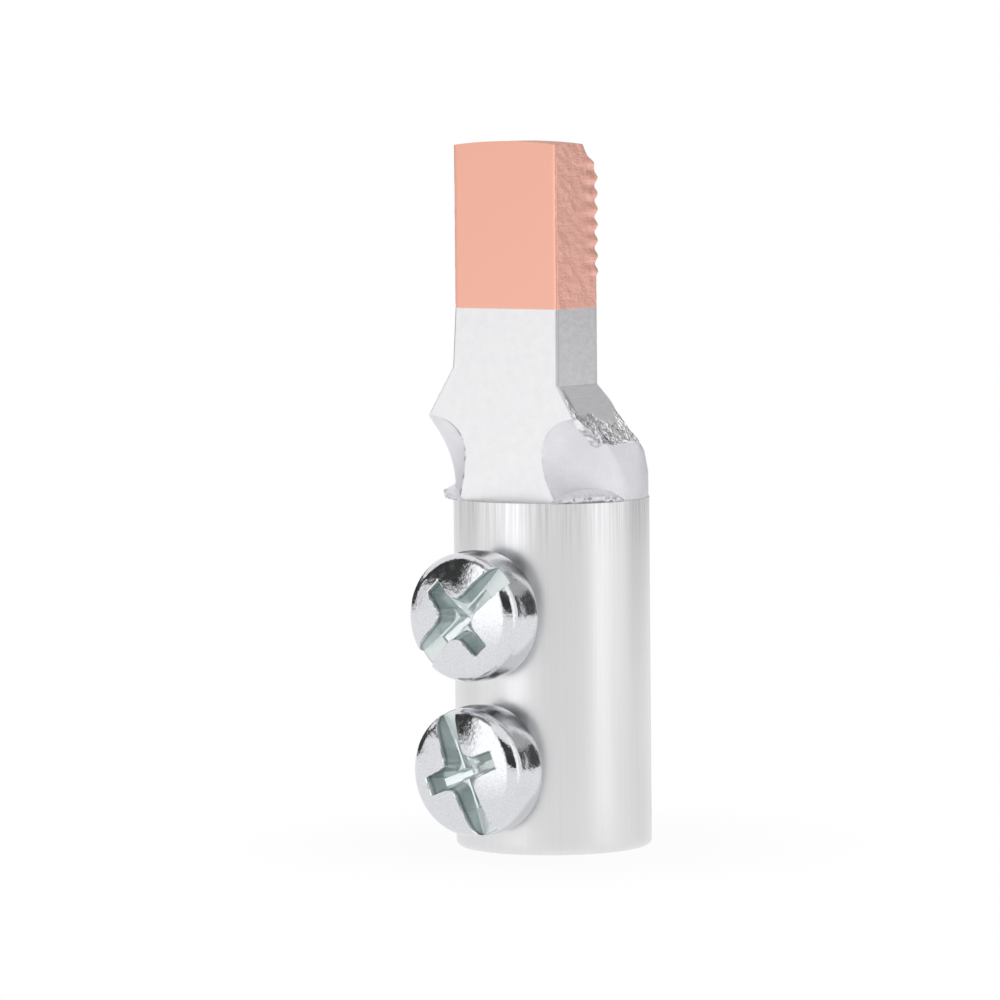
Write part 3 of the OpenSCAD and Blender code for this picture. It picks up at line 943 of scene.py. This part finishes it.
def screw_patches():
    """A whole screw along +w with its underside at 0: the head's top as a height over the square
    net, then one skin from the rim down over the underside and the thread to the tip. The top
    carries three marks, each by how far it is sunk below the dome: depth for the whole recess, lip
    for its upper edge, which takes a painted highlight, and groove for the wall below that, which
    is darkened with painted shade."""
    p, q = np.meshgrid(frame_u, frame_v)
    u, v = onto_head(p, q)
    dome = crown_height(np.hypot(u, v))
    w = recess_height(u, v, dome)
    top = np.stack([u, v, w], -1)
    sunk = dome - w
    depth = share_of(sunk, *recess_depths)
    # Painted highlight: the recess's upper edge is marked to be painted white.
    lip = share_of(sunk, *highlight_starts) * (1 - share_of(sunk, *highlight_ends))
    # Painted shade: the recess wall below the edge is marked to be painted dark.
    groove = share_of(sunk, *wall_shade_starts) * (1 - share_of(sunk, *wall_shade_ends))
    rim = rim_loop(top)
    turn = np.arctan2(rim[:, 1], rim[:, 0])
    edge = np.linspace(0, np.pi / 2, 5)[1:]
    down = np.linspace(0.1, 1, 12)
    wall_r = head_r + rim_bulge * 4 * down * (1 - down)
    skirt_r = np.concatenate([wall_r, head_r - rim_round * (1 - np.cos(edge)),
                              [thread_r + fillet_w, thread_r]])
    skirt_w = np.concatenate([blend(slot_floor, rim_round, down), rim_round * (1 - np.sin(edge)),
                              [0, -fillet_h]])
    rows = np.arange(-fillet_h, -shank_l, -thread_pitch / thread_rows)[1:]
    rows = np.append(rows, -shank_l)
    phase = np.mod(rows[:, None] / thread_pitch - turn / (2 * np.pi), 1)
    flank = np.clip(crest_share - flank_steep * np.abs(phase - 0.5), 0, 1)
    cut_in = share_of(-rows, fillet_h, thread_start)[:, None]
    thread = blend(thread_r, blend(thread_root_r, thread_r, flank), cut_in)
    thread = np.minimum(thread, thread_root_r - tip_inset + (shank_l + rows[:, None]))
    shank = swept(thread, turn, rows)
    end = shank[-1] * (np.linspace(1, 0, 5)[:, None, None] * [1, 1, 0] + [0, 0, 1])
    skin = np.concatenate([rim[None], swept(skirt_r[:, None], turn, skirt_w), shank])
    marks = {"depth": depth.ravel(), "lip": lip.ravel(), "groove": groove.ravel()}
    return [grid(top), grid(skin, closed=True), grid(end, closed=True)], marks


zinc, finish = metal("zinc_plate", (0.74, 0.75, 0.77), 0.1)
sunk = attribute(zinc, "depth")
lip = attribute(zinc, "lip")
specks = between(zinc, grain(zinc, 0.13 * MM, detail=4.0), 0.35, 0.65)
head_tone = mixed_color(zinc, specks, (0.66, 0.67, 0.695), (0.74, 0.75, 0.77))
recess_tone = mixed_color(zinc, sunk, head_tone, (0.72, 0.77, 0.77))
# Painted shade: the recess wall is darkened in colour, with the plating's greenish tint.
shaded_wall_tone = mixed_color(zinc, attribute(zinc, "groove"), recess_tone, (0.34, 0.38, 0.39))
# Painted highlight: the recess's upper edge is painted white.
feed(zinc, finish.inputs["Base Color"], mixed_color(zinc, lip, shaded_wall_tone, (1.0, 1.0, 1.0)))
clouds = between(zinc, grain(zinc, 0.7 * MM), 0.42, 0.6, 0.07, 0.17)
matt = between(zinc, worked_out(zinc, "MAXIMUM", sunk, lip), 0, 1, clouds, 0.3)
feed(zinc, finish.inputs["Roughness"], matt)
uneven(zinc, finish, grain(zinc, 0.32 * MM, detail=5.0), 0.018 * MM)

patches, screw_marks = screw_patches()
for node in screw_nodes:
    turn = np.radians(screw_turns[node])
    seat_y = screw_boxes[node][0].y + head_h
    placed = []
    for points, quads in patches:
        u, v, w = points.T
        placed.append((np.stack([u * np.cos(turn) - v * np.sin(turn), seat_y - w,
                                 u * np.sin(turn) + v * np.cos(turn) + screw_heights[node]], -1), quads))
    screw = piece(node + "_finish", placed, node.replace("clamp_", ""), "zinc_plated_steel", [node],
                  **screw_marks)
    screw.data.materials.append(zinc)

# The floor: a pale disc that the lug stands on. The camera and the metal see it white, with a
# faint shadow under the object.
floor_r = 30 * MM
floor_lines = 64
floor_middle_r = 0.001 * MM
floor_turn = np.linspace(0, 2 * np.pi, floor_lines, endpoint=False)
floor_rings = round_points(np.array([[floor_r], [floor_r / 2], [floor_middle_r]]), floor_turn, 0.0)
floor_mesh = raw_mesh("floor", *grid(floor_rings, closed=True))
floor = in_scene("floor", floor_mesh)


def glowing(name):
    """A material with no metal in it: its own surface socket, and a glow of strength 1."""
    made = bpy.data.materials.new(name)
    made.use_nodes = True
    nodes = made.node_tree.nodes
    nodes.remove(nodes["Principled BSDF"])
    return made, nodes["Material Output"].inputs["Surface"], nodes.new("ShaderNodeEmission")


pale, surface, glow = glowing("pale_floor")
paint = pale.node_tree.nodes.new("ShaderNodeBsdfDiffuse")
paint.inputs["Color"].default_value = (0.95, 0.95, 0.95, 1)
path = pale.node_tree.nodes.new("ShaderNodeLightPath")
seen = worked_out(pale, "MAXIMUM", path.outputs["Is Camera Ray"], path.outputs["Is Glossy Ray"])
seen = worked_out(pale, "MAXIMUM", seen, path.outputs["Is Transmission Ray"])
from_middle = pale.node_tree.nodes.new("ShaderNodeVectorMath")
from_middle.operation = "LENGTH"
feed(pale, from_middle.inputs[0], position(pale))
whiteness = between(pale, from_middle.outputs["Value"], 0.4 * floor_r, 0.97 * floor_r, 0.93, 1.0)
mixed = pale.node_tree.nodes.new("ShaderNodeMixShader")
feed(pale, mixed.inputs[0], worked_out(pale, "MULTIPLY", seen, whiteness))
feed(pale, mixed.inputs[1], paint.outputs[0])
feed(pale, mixed.inputs[2], glow.outputs[0])
feed(pale, surface, mixed.outputs[0])
floor_mesh.materials.append(pale)

# The light: a white room with two upright soft boxes. Dark and grey cards stand where the real
# studio is dark: beyond the camera, to both sides and high up.
world = bpy.context.scene.world or bpy.data.worlds.new("room")
bpy.context.scene.world = world
world.use_nodes = True
room = world.node_tree.nodes["Background"]
room.inputs["Color"].default_value = (1, 1, 1, 1)
room.inputs["Strength"].default_value = 1.0
card_distance = 600 * MM
card_middle = 28 * MM


def studio_card(name, azimuth, width, low, high, radiance, fade=0.0):
    """An upright strip of a cylinder round the object that glows: azimuth and width are degrees
    round from the front, and low and high are degrees above the object's middle. Fade is the share
    of its height over which its lower end comes down to the white of the room."""
    turn = np.radians(np.linspace(azimuth - width / 2, azimuth + width / 2, 9))
    height = card_middle + card_distance * np.tan(np.radians([[low], [high]]))
    mesh = raw_mesh(name, *grid(round_points(card_distance, turn, height)))
    card = in_scene(name, mesh)
    even, surface, glow = glowing(name)
    glow.inputs["Strength"].default_value = radiance
    feed(even, surface, glow.outputs[0])
    if fade:
        foot, head = height.ravel()
        rising = between(even, height_of(even), foot, blend(foot, head, fade), 1.0, radiance)
        feed(even, glow.inputs["Strength"], rising)
    mesh.materials.append(even)
    card.visible_camera = False


studio_card("soft_box_left", -10, 28, -20, 50, 1.45, fade=0.2)
studio_card("soft_box_right", 93, 22, -20, 50, 1.3, fade=0.2)
studio_card("dark_room_front", 47, 70, 2, 36, 0.05)
studio_card("dark_room_left", -94, 60, -2, 14, 0.05)
studio_card("dark_wall_left", -49, 42, 8, 60, 0.05)
studio_card("dark_room_right", 175, 82, -3, 20, 0.08)
studio_card("grey_wall_right", 170, 84, 20, 75, 0.47)
studio_card("ceiling", -20, 60, 55, 75, 0.25)
bpy.context.scene.view_settings.view_transform = "Standard"

# The camera: it looks at the middle of the lug from 35 degrees to the right of its front and a few
# degrees above, from nearly half a metre away, and is turned a little about its own axis.
view_azimuth = np.radians(35.0)
view_elevation = np.radians(4.1)
view_roll = np.radians(-0.52)
view_distance = 490 * MM
px_per_mm = 12.24
picture_px = 1000
aim_height = 28.27 * MM
aim_left = 4.2 * MM
back = Vector((np.sin(view_azimuth) * np.cos(view_elevation),
               -np.cos(view_azimuth) * np.cos(view_elevation), np.sin(view_elevation)))
right = Vector((np.cos(view_azimuth), np.sin(view_azimuth), 0))
lens = bpy.data.cameras.new("camera")
lens.sensor_width = 36
lens.lens = px_per_mm * view_distance / MM * lens.sensor_width / picture_px
camera = bpy.data.objects.new("camera", lens)
bpy.context.scene.collection.objects.link(camera)
camera.matrix_world = back.to_track_quat("Z", "Y").to_matrix().to_4x4()
camera.location = Vector((0, 0, aim_height)) - aim_left * right + view_distance * back
camera.rotation_euler.rotate_axis("Z", view_roll)
bpy.context.scene.camera = camera
